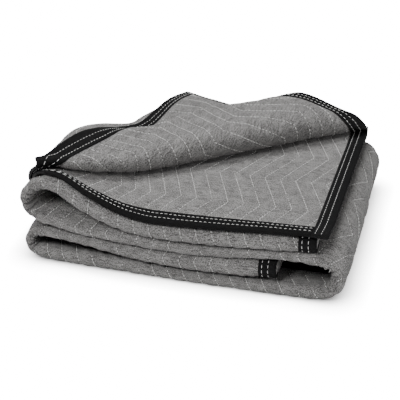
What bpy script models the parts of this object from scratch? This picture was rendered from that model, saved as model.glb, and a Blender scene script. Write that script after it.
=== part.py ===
"""A quilted moving pad, folded into a pile with its top corner peeled back.

The cloth is folded twice across its width into a strip of four layers, then laid back and
forth in four runs. Two coordinates give a place on the flat cloth: the distance along it,
from the end that lies on top, and the distance across it, from the edge of the top layer.
X runs right along the front of the pile, Y back, Z up. The origin is under the pile's middle.
"""

import math

import bmesh
import bpy
import numpy as np
from mathutils import Vector
from mathutils.geometry import delaunay_2d_cdt

# Cloth and tape
CLOTH = 0.0054              # thickness of the quilted cloth
CLOTH_AT_TAPE = 0.0026      # where the tape presses it
LAYER = 0.0070              # from one layer of the pile to the next
TAPE = 0.0010               # thickness of the binding tape
TAPE_WIDTH = 0.026          # how far the tape reaches in from the edge
CLEAR = 0.0003              # between the tape and the cloth
QUILT_PITCH = 0.0254        # from one row of quilting to the next
QUILT_SWING = 0.0193        # how far a row swings to each side
QUILT_HALF_WAVE = 0.098     # along a row, from one corner to the next
QUILT_RISE = 0.0010         # of the cloth between its rows

# The pile
FRONT = -0.221              # front of the rolls
BACK = 0.212                # back of the outer crease
MIDDLE = np.array((0.0014, -0.0022, 0.0))     # of the pile, where the origin is
FRONT_ZONE = 0.050          # depth in which a roll settles into its layers
EDGE_LIFT = 0.0014          # more room between a front roll and the bound edge on it
PUFF_ENDS = (-0.03, 0.12)   # where along Y the left side's puff starts and stops fading
DRAW = 0.040                # how far its upper half is drawn in at the back
DRAW_ENDS = (0.070, 0.260)  # where along Y that starts and is done
DRAW_X = (-0.05, -0.15)     # none of it right of the first, all of it left of the second

# The fold path, seen from the front: the middle of the strip in the front part of the pile
# (x, z) and at its back (back_x, back_z), the middle and half height of the front roll
# (roll_z, roll_half), how far that roll stands back (recess), and how far behind it the two
# bound edges lie (set_back). Between two runs the strip makes a half turn.
PATH_COLUMNS = ("x", "z", "back_x", "back_z", "roll_z", "roll_half", "recess", "set_back")
RUN_1 = (
    (0.218, 0.1013, 0.218, 0.1013, 0.0890, 0.0138, 0.000, 0.002),
    (0.149, 0.1013, 0.149, 0.1013, 0.0852, 0.0145, 0.000, 0.002),
    (0.057, 0.1013, 0.057, 0.1013, 0.0792, 0.0150, 0.000, 0.002),
    (-0.038, 0.1013, -0.036, 0.1013, 0.0775, 0.0135, 0.001, 0.002),
    (-0.095, 0.1040, -0.084, 0.1013, 0.0865, 0.0140, 0.002, 0.002),
    (-0.150, 0.1195, -0.128, 0.1013, 0.1090, 0.0142, 0.003, 0.003),
    (-0.206, 0.1380, -0.165, 0.1013, 0.1370, 0.0125, 0.004, 0.006),
)
RUN_2 = (
    (-0.206, 0.0752, -0.165, 0.0731, 0.0715, 0.0092, 0.006, 0.064),
    (-0.150, 0.0737, -0.128, 0.0731, 0.0605, 0.0096, 0.006, 0.064),
    (-0.086, 0.0733, -0.076, 0.0731, 0.0565, 0.0110, 0.006, 0.064),
    (0.010, 0.0733, 0.010, 0.0733, 0.0515, 0.0098, 0.006, 0.064),
    (0.103, 0.0733, 0.103, 0.0733, 0.0570, 0.0088, 0.006, 0.064),
    (0.190, 0.0733, 0.190, 0.0733, 0.0645, 0.0085, 0.004, 0.064),
    (0.223, 0.0733, 0.223, 0.0733, 0.0640, 0.0098, 0.001, 0.064),
)
RUN_3 = (
    (0.223, 0.0132, 0.223, 0.0132, 0.0120, 0.0120, -0.004, 0.064),
    (0.190, 0.0132, 0.190, 0.0132, 0.0102, 0.0102, -0.004, 0.064),
    (0.103, 0.0132, 0.103, 0.0132, 0.0082, 0.0082, -0.003, 0.064),
    (0.010, 0.0132, 0.010, 0.0132, 0.0078, 0.0078, -0.002, 0.064),
    (-0.086, 0.0132, -0.080, 0.0132, 0.0100, 0.0100, 0.001, 0.064),
    (-0.165, 0.0132, -0.155, 0.0132, 0.0112, 0.0112, 0.003, 0.064),
    (-0.2275, 0.0132, -0.2095, 0.0132, 0.0140, 0.0106, 0.005, 0.064),
)
RUN_4 = (
    (-0.2275, 0.0452, -0.2095, 0.0452, 0.0500, 0.0080, 0.006, 0.064),
    (-0.165, 0.0452, -0.155, 0.0452, 0.0445, 0.0070, 0.006, 0.064),
    (-0.086, 0.0452, -0.080, 0.0452, 0.0342, 0.0095, 0.004, 0.064),
    (0.010, 0.0452, 0.010, 0.0452, 0.0288, 0.0115, 0.002, 0.064),
    (0.103, 0.0452, 0.103, 0.0452, 0.0320, 0.0138, 0.001, 0.064),
    (0.158, 0.0452, 0.158, 0.0452, 0.0362, 0.0144, 0.001, 0.064),
)


def half_turn(start, end, steps, reach, back_reach, tighter):
    """The rows between two runs. The strip reaches out along X, in front and at the back, and
    its front roll is tighter. The steps are an even number, so that a row is at the turn's tip."""
    rows = []
    for step in range(1, steps):
        angle = math.pi * step / steps
        row = [a + (b - a) * (1.0 - math.cos(angle)) / 2 for a, b in zip(start, end)]
        row[PATH_COLUMNS.index("x")] += reach * math.sin(angle)
        row[PATH_COLUMNS.index("back_x")] += back_reach * math.sin(angle)
        row[PATH_COLUMNS.index("roll_half")] -= tighter * math.sin(angle)
        rows.append(tuple(row))
    return tuple(rows)


UPPER_LOOP = half_turn(RUN_1[-1], RUN_2[0], 8, -0.0425, -0.0141, 0.0040)
RIGHT_TURN = half_turn(RUN_2[-1], RUN_3[0], 6, 0.031, 0.027, 0.0)
LOWER_LOOP = half_turn(RUN_3[-1], RUN_4[0], 6, -0.0180, -0.0160, 0.0025)
PATH = np.array(RUN_1 + UPPER_LOOP + RUN_2 + RIGHT_TURN + RUN_3 + LOWER_LOOP + RUN_4)
PATH_STEPS = np.hypot(np.diff(PATH[:, 0]), np.diff(PATH[:, 1]))
PATH_PLACES = np.concatenate([[0.0], np.cumsum(PATH_STEPS)])
LENGTH = float(PATH_PLACES[-1])
UPPER_HALF = float(PATH_PLACES[len(RUN_1 + UPPER_LOOP) + 3])    # how far along runs 1 and 2 go on the left

# Across the cloth: the top layer, the outer crease at the back, the outer layer, the front
# roll, the inner layer, the inner crease at the back, and the bound layer under the top one.
CREASE_Y = BACK - 1.5 * LAYER - CLOTH / 2
LAYER_DEPTH = 0.411
EVEN_DEPTH = 0.300          # from the back crease, where all layers have their rows at the same Y
OUTER_CREASE = 1.5 * math.pi * LAYER
INNER_CREASE = 0.5 * math.pi * LAYER
ROLL = 0.036
ACROSS = np.cumsum([0.0, LAYER_DEPTH, OUTER_CREASE, LAYER_DEPTH, ROLL, LAYER_DEPTH,
                    INNER_CREASE, LAYER_DEPTH])
WIDTH = float(ACROSS[-1])

# On the bound layer a quilting row has a corner that points right this far back from its edge
QUILT_CORNER = WIDTH - 0.0745
QUILT_START = -0.0050

# Where the two ends lie past the path's first and last rows, by distance across the cloth
TOP_END = ((ACROSS[1], -0.019), (ACROSS[3] - 0.1, 0.0), (ACROSS[4] + 0.1, 0.0), (ACROSS[6], -0.019))
INNER_END = ((ACROSS[1], 0.040), (ACROSS[3] - 0.1, 0.0), (ACROSS[4] + 0.1, 0.0), (ACROSS[6], 0.034))

# The peeled corner of the top layer: the line it turns back on, in flat coordinates where X
# falls as the distance along grows, and the form of its roll
TURN_LEFT = np.array((-0.2390, -0.2035))
TURN_RIGHT = np.array((0.238, 0.1945))
TURN_RADIUS = (0.0100, 0.0245, 0.0100)     # at its left end, middle and right end
TURN_START = 0.42                  # of a radius, behind the line, where the cloth lifts off
SAG_START = 0.060                  # past the roll, where the corner starts to come down
SAG_LENGTH = 0.060                 # in which it does
LANDING = 0.0085                   # height of the corner over the layer it lands on
LOFT = 0.0030                      # how much looser the peeled layer lies than the others

# The corner's end hangs down on its left, its tip lifts, and it arches near the turn. Its
# places are distances across the cloth, its depths are distances from the end.
HANG = 0.016
HANG_DEPTH = 0.026
HANG_ENDS = (0.215, 0.150)
TIP_LIFT = 0.023
TIP_REACH = 0.33
ARCH = 0.016
ARCH_PLACE = 0.262
ARCH_HALF = 0.100
LIFT_DEPTH = 0.15

# Mesh steps: the distances from a back crease at which all layers have a row, and in front of
# them the rows of the bound layers, down to their tape, and of the rolled ones
EVEN_ROWS = (0.0, 0.030, 0.065, 0.110, 0.160, 0.210, 0.255, 0.300)
BOUND_ROWS = (0.335, 0.365, LAYER_DEPTH - TAPE_WIDTH)
ROLLED_ROWS = (0.340, 0.375, 0.400)
TAPE_LINES = 3                      # on the folded tapes, from the edge to the inner border
CREASE_ROWS = 4
ROLL_ROWS = 6
# More places on the front tape, and more rows on the end tape, where they bend
LEFT_FOLD_PLACES = (0.4130, 0.4215, 0.4374, 0.4530, 0.4680, 0.4740)
RIGHT_FOLD_ROWS = (0.1785, 0.226, 0.276, 0.354, 0.365, 0.374, 0.389, 0.396, 0.403)
ROLL_LINES = 6                      # facets round the peeled corner's roll
FOLD_STEP = 0.041                   # between the points on the peeled corner
FOLD_REACH = 0.020                  # behind its roll, where the grid's own points start
PEEL_REACH = 0.50                   # along the cloth, how far the peeled layer's patch goes
QUILTED_REACH = 0.41                # and the patch of the layer under it
PATCH_GAP = 0.010                   # from a patch's border to the first point inside it
COLOURS = {"cloth": (0.27, 0.27, 0.275, 1.0), "tape": (0.022, 0.022, 0.024, 1.0)}
ROUGHNESS = {"cloth": 0.95, "tape": 0.8}


def ease(value):
    """Goes smoothly from 0 to 1 while the value does."""
    value = np.clip(value, 0.0, 1.0)
    return value * value * (3.0 - 2.0 * value)


def mix(a, b, share):
    return a + (b - a) * share


def column(name, along):
    """A column of the path's table at a distance along the cloth, on a smooth curve that goes
    past no row's value."""
    values = PATH[:, PATH_COLUMNS.index(name)]
    steps = np.diff(values) / np.diff(PATH_PLACES)
    slopes = np.gradient(values, PATH_PLACES)
    steepest = 3.0 * np.minimum(np.abs(steps[:-1]), np.abs(steps[1:]))
    slopes[1:-1] = np.clip(slopes[1:-1], -steepest, steepest) * (steps[:-1] * steps[1:] > 0.0)
    inside = np.clip(along, 0.0, LENGTH)
    row = np.clip(np.searchsorted(PATH_PLACES, inside, side="right") - 1, 0, len(values) - 2)
    step = PATH_PLACES[row + 1] - PATH_PLACES[row]
    t = (inside - PATH_PLACES[row]) / step
    start, end = values[row], values[row + 1]
    start_slope, end_slope = slopes[row] * step, slopes[row + 1] * step
    curve = ((2 * t**3 - 3 * t**2 + 1) * start + (t**3 - 2 * t**2 + t) * start_slope
             + (3 * t**2 - 2 * t**3) * end + (t**3 - t**2) * end_slope)
    past_slope = np.where(along < 0.0, slopes[0], slopes[-1])
    return curve + past_slope * (along - inside)


def line_and_normal(x_at, z_at, along):
    """A curve in the XZ plane and its normal, on the side of the top layer."""
    tiny = 0.0005
    x, z = x_at(along), z_at(along)
    run = x_at(along + tiny) - x_at(along - tiny)
    rise = z_at(along + tiny) - z_at(along - tiny)
    size = np.hypot(run, rise)
    return x, z, rise / size, -run / size


def strip_middle(along, y):
    """The middle of the four layers. Towards the back the left side gets flatter, and then its
    upper half is drawn in."""
    back = ease((y - PUFF_ENDS[0]) / (PUFF_ENDS[1] - PUFF_ENDS[0]))
    drawn = DRAW * ease((y - DRAW_ENDS[0]) / (DRAW_ENDS[1] - DRAW_ENDS[0]))

    def x_at(d):
        x = mix(column("x", d), column("back_x", d), back)
        return x + drawn * ease((DRAW_X[0] - x) / (DRAW_X[0] - DRAW_X[1])) * (d < UPPER_HALF)

    return line_and_normal(x_at, lambda d: mix(column("z", d), column("back_z", d), back), along)


def roll_middle(along):
    """The middle of the front roll."""
    return line_and_normal(lambda d: column("x", d), lambda d: column("roll_z", d), along)


def roll_front(along):
    return FRONT + column("recess", along)


def in_layer(along, y, height):
    """A point of a layer that lies at a height over the strip's middle."""
    x, z, nx, nz = strip_middle(along, y)
    return np.stack([x + nx * height, y, z + nz * height], axis=-1)


def front_layers(along, depth):
    """The middle of the two layers that meet in the front roll, a depth behind its front, with
    their normal, and how far each of them lies from that middle."""
    x, z, nx, nz = strip_middle(along, roll_front(along) + depth)
    behind = np.stack([x - nx * LAYER, z - nz * LAYER, nx, nz], axis=-1)
    roll = np.stack(roll_middle(along), axis=-1)
    blend = mix(roll, behind, ease(depth / FRONT_ZONE)[..., None])
    nose = column("roll_half", along) - CLOTH / 2
    opening = mix(nose, LAYER / 2, ease(depth / FRONT_ZONE))
    return blend, opening, nose


def resting_layer(along, y, height):
    """A point of a layer that lies on the inner one: on the front roll and on what is behind."""
    depth = y - roll_front(along) - CLOTH / 2
    frame, opening, _ = front_layers(along, depth)
    reach = opening + 0.5 * LAYER + height + EDGE_LIFT * (1.0 - ease(depth / FRONT_ZONE))
    return np.stack([frame[..., 0] + frame[..., 2] * reach, y, frame[..., 1] + frame[..., 3] * reach],
                    axis=-1)


def layer_y(front, share):
    """Y at a share of a layer's depth, from its back crease to the Y of its front."""
    distance = share * LAYER_DEPTH
    room = (CREASE_Y - front - EVEN_DEPTH) / (LAYER_DEPTH - EVEN_DEPTH)
    return CREASE_Y - np.where(distance < EVEN_DEPTH, distance, EVEN_DEPTH + (distance - EVEN_DEPTH) * room)


def bound_edge(along):
    return roll_front(along) + column("set_back", along)


def rolled_layers(along, depth, side):
    """The two layers that meet in the front roll. Side is 1 for the inner, -1 for the outer."""
    frame, opening, nose = front_layers(along, depth)
    rounding = np.sqrt(np.clip(1.0 - (1.0 - np.clip(depth / nose, 0.0, 1.0)) ** 2, 0.0, 1.0))
    reach = side * opening * rounding
    y = roll_front(along) + CLOTH / 2 + depth
    return np.stack([frame[..., 0] + frame[..., 2] * reach, y, frame[..., 1] + frame[..., 3] * reach],
                    axis=-1)


def turn_radius(share):
    """Of the peeled corner's roll, at a share of its length from the left."""
    share = np.clip(share, 0.0, 1.0)
    bulge = np.where(share < 0.5, ease(2.0 * share), np.sin(math.pi * share) ** 0.55)
    return mix(mix(TURN_RADIUS[0], TURN_RADIUS[2], share), TURN_RADIUS[1], bulge)


def peel(along, y):
    """Turns the top layer's corner back. Gives the new place and the height over the layer."""
    flat = np.stack([PATH[0, 0] - along, y], axis=-1)
    line = TURN_RIGHT - TURN_LEFT
    span = float(np.hypot(*line))
    line = line / span
    normal = np.array((-line[1], line[0]))
    on_line = (flat - TURN_LEFT) @ line
    behind = (flat - TURN_LEFT) @ normal
    radius = turn_radius(on_line / span)
    past = np.where(on_line > -0.03, TURN_START * radius - behind, 0.0)
    angle = np.clip(past / radius, 0.0, math.pi)
    after = np.clip(past - math.pi * radius, 0.0, None)
    top = 2.0 * radius
    height = radius * (1.0 - np.cos(angle))
    height = np.where(after > 0.0, mix(top, LANDING, ease((after - SAG_START) / SAG_LENGTH)), height)
    place = np.where(past > 0.0, TURN_START * radius - radius * np.sin(angle) + 0.97 * after, behind)
    moved = TURN_LEFT + on_line[..., None] * line + place[..., None] * normal
    return PATH[0, 0] - moved[..., 0], moved[..., 1], height


def end_places(across):
    """Where the cloth's two ends are, at a distance across it."""
    return np.interp(across, *zip(*TOP_END)), LENGTH + np.interp(across, *zip(*INNER_END))


def corner_drape(along, across):
    """How much higher the turned corner lies for its lifted tip, its arch and its hanging end."""
    inset = along - end_places(across)[0]
    share = ease((HANG_ENDS[0] - across) / (HANG_ENDS[0] - HANG_ENDS[1]))
    hang = HANG * share * np.clip(1.0 - inset / HANG_DEPTH, 0.0, None) ** 1.5
    arch = ARCH * ease(1.0 - np.abs(across - ARCH_PLACE) / ARCH_HALF)
    return (TIP_LIFT * ease(1.0 - across / TIP_REACH) + arch) * ease(1.0 - inset / LIFT_DEPTH) - hang


def cloth(along, across):
    """The middle of the cloth at a distance along and across it."""
    along, across = np.broadcast_arrays(np.asarray(along, float), np.asarray(across, float))
    point = np.zeros(along.shape + (3,))
    part = np.clip(np.searchsorted(ACROSS, across, side="right") - 1, 0, len(ACROSS) - 2)
    share = (across - ACROSS[part]) / np.diff(ACROSS)[part]

    top = part == 0
    if top.any():
        place, y, height = peel(along[top], layer_y(bound_edge(along[top]), 1.0 - share[top]))
        loose = ease((PEEL_REACH - along[top]) / 0.08) * ease((1.0 - share[top]) / 0.05)
        height = height + corner_drape(along[top], across[top])
        point[top] = resting_layer(place, y, 1.5 * LAYER + height + LOFT * loose)

    for number, radius in ((1, 1.5 * LAYER), (5, 0.5 * LAYER)):
        crease = part == number
        if crease.any():
            turn = math.pi * share[crease]
            height = radius * np.cos(turn) * (1 if number == 1 else -1)
            y = CREASE_Y + radius * np.sin(turn)
            bent = in_layer(along[crease], np.full_like(y, CREASE_Y), height)
            bent[..., 1] = y
            point[crease] = bent

    for number, side in ((2, -1), (4, 1)):
        layer = part == number
        if layer.any():
            d = along[layer]
            nose = column("roll_half", d) - CLOTH / 2
            face = roll_front(d) + CLOTH / 2
            forward = share[layer] if number == 2 else 1.0 - share[layer]
            point[layer] = rolled_layers(d, layer_y(face + nose, forward) - face, side)

    roll = part == 3
    if roll.any():
        d = along[roll]
        nose = column("roll_half", d) - CLOTH / 2
        turn = math.pi * (share[roll] - 0.5)
        depth = nose * (1.0 - np.cos(turn))
        point[roll] = rolled_layers(d, depth, np.sign(turn))

    under = part == 6
    if under.any():
        d = along[under]
        point[under] = resting_layer(d, layer_y(bound_edge(d), share[under]), 0.5 * LAYER)
    return point - MIDDLE


def outward(along, across):
    """The cloth's normal, on the face that is the top layer's upper one."""
    tiny = 0.0008
    low, high = np.clip(across - tiny, 0.0, WIDTH), np.clip(across + tiny, 0.0, WIDTH)
    by_length = cloth(along + tiny, across) - cloth(along - tiny, across)
    by_width = cloth(along, high) - cloth(along, low)
    normal = np.cross(by_width, by_length)
    return normal / np.linalg.norm(normal, axis=-1, keepdims=True)


def thickness(along, across):
    """Thin at the taped edges, full elsewhere."""
    first, last = end_places(across)
    inset = np.minimum(np.minimum(across, WIDTH - across), np.minimum(along - first, last - along))
    return mix(CLOTH_AT_TAPE, CLOTH, ease((inset - TAPE_WIDTH) / 0.012))


def rows_across():
    """Places across the cloth, by part, with one at the inner border of each side tape and one
    halfway to it on the top layer, whose tape folds over."""
    bound = [distance / LAYER_DEPTH for distance in EVEN_ROWS + BOUND_ROWS]
    rolled = [distance / LAYER_DEPTH for distance in EVEN_ROWS + ROLLED_ROWS]
    crease = [i / CREASE_ROWS for i in range(CREASE_ROWS)]
    roll = [i / ROLL_ROWS for i in range(ROLL_ROWS)]
    top = [0.0, TAPE_WIDTH / 2 / LAYER_DEPTH] + sorted(1.0 - share for share in bound[1:])
    inner = [0.0] + sorted(1.0 - share for share in rolled[1:])
    parts = (top, crease, rolled, roll, inner, crease, bound)
    depths = np.diff(ACROSS)
    rows = [ACROSS[i] + share * depths[i] for i, part in enumerate(parts) for share in part]
    return np.array(rows + [WIDTH])


def quilt_row_at(across):
    """How far a quilting row lies along the cloth, at a distance across it."""
    phase = (across - QUILT_CORNER) / QUILT_HALF_WAVE
    return QUILT_START + QUILT_SWING * (1.0 - 2.0 * np.abs(np.mod(phase, 2.0) - 1.0))


def behind_fold(along, across):
    """How far a flat place on the top layer is behind the line its corner turns back on."""
    line = TURN_RIGHT - TURN_LEFT
    edge = float(bound_edge(along))
    y = float(layer_y(edge, 1.0 - across / LAYER_DEPTH))
    cross = line[0] * (y - TURN_LEFT[1]) - line[1] * (PATH[0, 0] - along - TURN_LEFT[0])
    return float(cross) / float(np.hypot(*line))


def resting_points(rows):
    """The grid's own flat places where the top layer rests, as places on that layer."""
    return [(place, row) for place in PATH_PLACES[1:] for row in rows
            if place < PEEL_REACH and behind_fold(place, row) > FOLD_REACH]


def fold_points():
    """Flat places on the top layer's corner, in lines that follow its roll."""
    line = TURN_RIGHT - TURN_LEFT
    span = float(np.hypot(*line))
    line = line / span
    normal = np.array((-line[1], line[0]))
    angles = [math.pi * i / ROLL_LINES for i in range(ROLL_LINES + 1)]
    points = []
    for on_line in np.arange(0.03, span, FOLD_STEP):
        radius = float(turn_radius(on_line / span))
        behind = [radius * (TURN_START - angle) for angle in angles]
        behind += [behind[ROLL_LINES] - FOLD_STEP * i for i in range(1, 10)]
        for distance in behind:
            x, y = TURN_LEFT + on_line * line + distance * normal
            room = (CREASE_Y - bound_edge(PATH[0, 0] - x) - EVEN_DEPTH) / (LAYER_DEPTH - EVEN_DEPTH)
            back = CREASE_Y - y
            back = min(back, EVEN_DEPTH + (back - EVEN_DEPTH) / float(room))
            points.append((PATH[0, 0] - x, LAYER_DEPTH - back, 0.0))
    return points


def quilt_points():
    """Flat places on the bound layer, where the peeled corner leaves it bare: its quilting rows
    and the rise between them."""
    corners = QUILT_CORNER - QUILT_HALF_WAVE * np.arange(5)
    ends = (ACROSS[6] + 0.02, WIDTH - TAPE_WIDTH - 0.010)
    inner = [c for c in corners if ends[0] + 0.01 < c < ends[1] - 0.01]
    points = []
    for number in range(-1, 36):
        rise = QUILT_RISE if number % 2 else 0.0
        for across in [ends[0]] + inner + [ends[1]]:
            along = number * QUILT_PITCH / 2 + float(quilt_row_at(across))
            if behind_fold(along, WIDTH - across) < FOLD_REACH / 2:
                points.append((along, across, rise))
    return points


def fill_patch(loop, flat, extra, bounds):
    """Triangles inside a loop of grid points, through the extra flat points inside the bounds."""
    (low_along, high_along), (low_across, high_across) = bounds
    inside = [p for p in extra if low_along + PATCH_GAP < p[0] < high_along - PATCH_GAP
              and low_across + PATCH_GAP < p[1] < high_across - PATCH_GAP]
    places = [Vector(flat[i]) for i in loop] + [Vector(p[:2]) for p in inside]
    edges = [(i, (i + 1) % len(loop)) for i in range(len(loop))]
    found = delaunay_2d_cdt(places, edges, [], 1, 1e-6)
    return inside, [tuple(f) for f in found[2]]


def make_object(name, points, faces, colour):
    mesh = bpy.data.meshes.new(name)
    mesh.from_pydata([tuple(p) for p in points], [], faces)
    shape = bmesh.new()
    shape.from_mesh(mesh)
    bmesh.ops.recalc_face_normals(shape, faces=shape.faces)
    shape.to_mesh(mesh)
    shape.free()
    mesh.shade_smooth()
    mesh.set_sharp_from_angle(angle=math.radians(50))
    material = bpy.data.materials.get(colour) or bpy.data.materials.new(colour)
    material.use_nodes = True
    shader = material.node_tree.nodes["Principled BSDF"]
    shader.inputs["Base Color"].default_value = COLOURS[colour]
    shader.inputs["Roughness"].default_value = ROUGHNESS[colour]
    mesh.materials.append(material)
    made = bpy.data.objects.new(name, mesh)
    bpy.context.collection.objects.link(made)
    return made


def flat_grid():
    """The cloth's grid of flat places, distances along and across it: a column at each row of
    the path, and the lines of the tapes at both ends."""
    rows = rows_across()
    first, last = end_places(rows)
    inner = np.repeat(PATH_PLACES[None, 1:-1], len(rows), axis=0)
    start = np.stack([first, first + TAPE_WIDTH / 2, first + TAPE_WIDTH], axis=1)
    stop = np.stack([last - TAPE_WIDTH, last], axis=1)
    along = np.concatenate([start, inner, stop], axis=1)
    return along, np.repeat(rows[:, None], along.shape[1], axis=1)


def faces_of(along, across):
    """The cloth's middle, and the offset from it to its upper face."""
    half = thickness(along, across)[..., None] / 2
    return cloth(along, across), outward(along, across) * half


def threaded(flat, line, more, axis):
    """A grid line's names with more names put in by their flat place."""
    return sorted(list(line) + list(more), key=lambda name: flat[name][axis])


def flat_net(along, across):
    """The cloth's flat places, what each rises by, its triangles, and the lines that its tapes
    follow. The peeled layer and the one under it have patches of their own."""
    index = np.arange(across.size).reshape(across.shape)
    flat = list(zip(along.ravel(), across.ravel()))
    front_more, end_more = [], []
    for line in range(TAPE_LINES):
        front_more.append(range(len(flat), len(flat) + len(LEFT_FOLD_PLACES)))
        flat += [(place, across[line, 0]) for place in LEFT_FOLD_PLACES]
        end_more.append(range(len(flat), len(flat) + len(RIGHT_FOLD_ROWS)))
        flat += [(along[0, line], row) for row in RIGHT_FOLD_ROWS]
    front = [threaded(flat, index[line], front_more[line], 0) for line in range(TAPE_LINES)]
    end = [threaded(flat, index[:, line], end_more[line], 1) for line in range(TAPE_LINES)]

    rise = [0.0] * len(flat)
    border = TAPE_LINES - 1
    top_rows = (border, int(np.argmax(across[:, 0] >= ACROSS[1])))
    under_rows = (int(np.argmax(across[:, 0] >= ACROSS[6])), across.shape[0] - 2)
    top_end = int(np.argmax(along[0] > PEEL_REACH))
    under_end = int(np.argmax(along[-1] > QUILTED_REACH))
    rest = resting_points(across[TAPE_LINES:top_rows[1], 0])
    top_extra = fold_points() + [(place, row, 0.0) for place, row in rest]
    under_extra = quilt_points() + [(place, WIDTH - row, 0.0) for place, row in rest]
    triangles = []
    for (low, high), last, extra in ((top_rows, top_end, top_extra), (under_rows, under_end, under_extra)):
        front_line, end_line = list(index[low, border:last + 1]), list(index[low:high + 1, border])
        if low == border:
            front_line = threaded(flat, front_line, front_more[border], 0)
            end_line = threaded(flat, end_line, end_more[border], 1)
        loop = front_line + list(index[low + 1:high + 1, last])
        loop += list(index[high, last - 1:border - 1:-1]) + end_line[-2:0:-1]
        bounds = ((along[low:high, border].max(), along[low:high, last].min()),
                  (across[low, 0], across[high, 0]))
        inside, found = fill_patch(loop, flat, extra, bounds)
        names = loop + [len(flat) + i for i in range(len(inside))]
        flat += [p[:2] for p in inside]
        rise += [p[2] for p in inside]
        triangles += [tuple(names[i] for i in f) for f in found]

    def strip(low_line, high_line, leaning_back=False):
        quads = list(zip(low_line, low_line[1:], high_line[1:], high_line))
        for number, (a, b, c, d) in enumerate(quads):
            if leaning_back and number < len(quads) - 1:
                triangles.extend([(a, b, d), (b, c, d)])
            else:
                triangles.extend([(a, b, c), (a, c, d)])

    for line in range(border):
        strip(front[line], front[line + 1])
        edge_line, inner_line = end[line][border:], end[line + 1][border:]
        for a, b, c, d in zip(edge_line, inner_line, inner_line[1:], edge_line[1:]):
            triangles += [(a, b, c), (a, c, d)]
    for i in range(border, across.shape[0] - 1):
        start = border
        if top_rows[0] <= i < top_rows[1]:
            start = top_end
        if under_rows[0] <= i < under_rows[1]:
            start = under_end
        forward = ACROSS[2] <= across[i, 0] < ACROSS[3] or under_rows[0] <= i < under_rows[1]
        strip(list(index[i, start:]), list(index[i + 1, start:]), forward)
    rim = front[0] + list(index[1:, -1]) + list(index[-1, -2::-1]) + end[0][-2:0:-1]
    tape_lines = {
        "binding_upper_edge": [line[border:-1] for line in front],
        "binding_lower_edge": [list(index[row, border:-1]) for row in (-1, -2)],
        "binding_top_end": end,
        "binding_inner_end": [list(index[:, number]) for number in (-1, -2)],
    }
    return np.array(flat), np.array(rise), triangles, rim, tape_lines


def make_cloth(flat, rise, triangles, rim):
    """The cloth as one solid."""
    middle, offset = faces_of(flat[:, 0], flat[:, 1])
    lift = rise[:, None] * offset / np.linalg.norm(offset, axis=-1, keepdims=True)
    count = len(flat)
    faces = []
    for a, b, c in triangles:
        ab, ac = flat[b] - flat[a], flat[c] - flat[a]
        if ab[0] * ac[1] < ab[1] * ac[0]:
            b, c = c, b
        faces += [(a, c, b), (a + count, b + count, c + count)]
    for a, b in zip(rim, rim[1:] + rim[:1]):
        if flat[a][1] == flat[b][1]:
            faces += [(a, b, b + count), (a, b + count, a + count)]
        else:
            faces += [(a, b, a + count), (b, b + count, a + count)]
    points = np.concatenate([middle + offset, middle - offset - lift])
    return make_object("quilted_cloth", points, faces, "cloth")


def pulled_in(line):
    """A line of grid values whose two ends are pulled in by the tapes' clearance."""
    line = line.copy()
    for end, before in ((0, 1), (-1, -2)):
        step = np.linalg.norm(line[before, :3] - line[end, :3])
        line[end] = mix(line[end], line[before], 0.0006 / step)
    return line


def make_tape(name, lines, edge_first):
    """Tape folded over an edge of the cloth. The lines run along it, from the edge to the tape's
    inner border, each row of them a middle and a normal. Edge_first says which way the cloth's
    own triangles lean there."""
    inner_at = CLOTH_AT_TAPE / 2 + CLEAR
    outer_at = inner_at + TAPE
    middles = [line[:, :3] for line in lines]
    normals = [line[:, 3:] for line in lines]
    out = middles[0] - middles[1]
    out /= np.linalg.norm(out, axis=-1, keepdims=True)
    over = middles[0] + out * (CLEAR + TAPE)
    inside = middles[0] + out * CLEAR
    bend = normals[0] * outer_at * 0.45
    pairs = list(zip(middles, normals))
    ring = [m + n * outer_at for m, n in reversed(pairs)] + [over + bend, over - bend]
    ring += [m - n * outer_at for m, n in pairs] + [m - n * inner_at for m, n in reversed(pairs[1:])]
    ring += [inside - normals[0] * inner_at, inside + normals[0] * inner_at]
    ring += [m + n * inner_at for m, n in pairs[1:]]
    sides, count = len(ring), len(lines)
    points = np.stack(ring, axis=1).reshape(-1, 3)
    inward = list(range(count + 2, 2 * count + 1)) + list(range(3 * count + 2, 4 * count + 1))
    faces = []
    for start in range(0, len(points) - sides, sides):
        for j in range(sides):
            a, b = start + j, start + (j + 1) % sides
            c, d = b + sides, a + sides
            if (j in inward) == edge_first:
                faces += [(a, c, b), (a, d, c)]
            else:
                faces += [(a, d, b), (b, d, c)]
    edge_under, edge_over = 3 * count + 1, 3 * count + 2
    cap = [(count - 1, count, edge_over), (count, count + 1, edge_under), (count, edge_under, edge_over),
           (count + 1, count + 2, edge_under)]
    for k in range(1, count):
        upper_out, upper_in = count - 1 - k, edge_over + k
        under_out, under_in = count + 2 + k, edge_under - k
        cap += [(upper_out, upper_out + 1, upper_in - 1), (upper_out, upper_in - 1, upper_in),
                (under_out - 1, under_out, under_in), (under_out - 1, under_in, under_in + 1)]
    last = len(points) - sides
    for a, b, c in cap:
        faces += [(a, b, c), (last + a, last + c, last + b)]
    return make_object(name, points, faces, "tape")


def make_bindings(flat, tape_lines):
    """The tape round the cloth: the side tapes stop at the inner borders of the end tapes."""
    for name, names in tape_lines.items():
        lines = []
        for line in names:
            middle, offset = faces_of(flat[line, 0], flat[line, 1])
            normal = offset / np.linalg.norm(offset, axis=-1, keepdims=True)
            lines.append(np.concatenate([middle, normal], axis=-1))
        if name in ("binding_upper_edge", "binding_lower_edge"):
            lines = [pulled_in(line) for line in lines]
        make_tape(name, lines, name in ("binding_upper_edge", "binding_top_end"))


def main():
    for old in list(bpy.data.objects):
        bpy.data.objects.remove(old, do_unlink=True)
    flat, rise, triangles, rim, tape_lines = flat_net(*flat_grid())
    make_cloth(flat, rise, triangles, rim)
    make_bindings(flat, tape_lines)


main()
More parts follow.
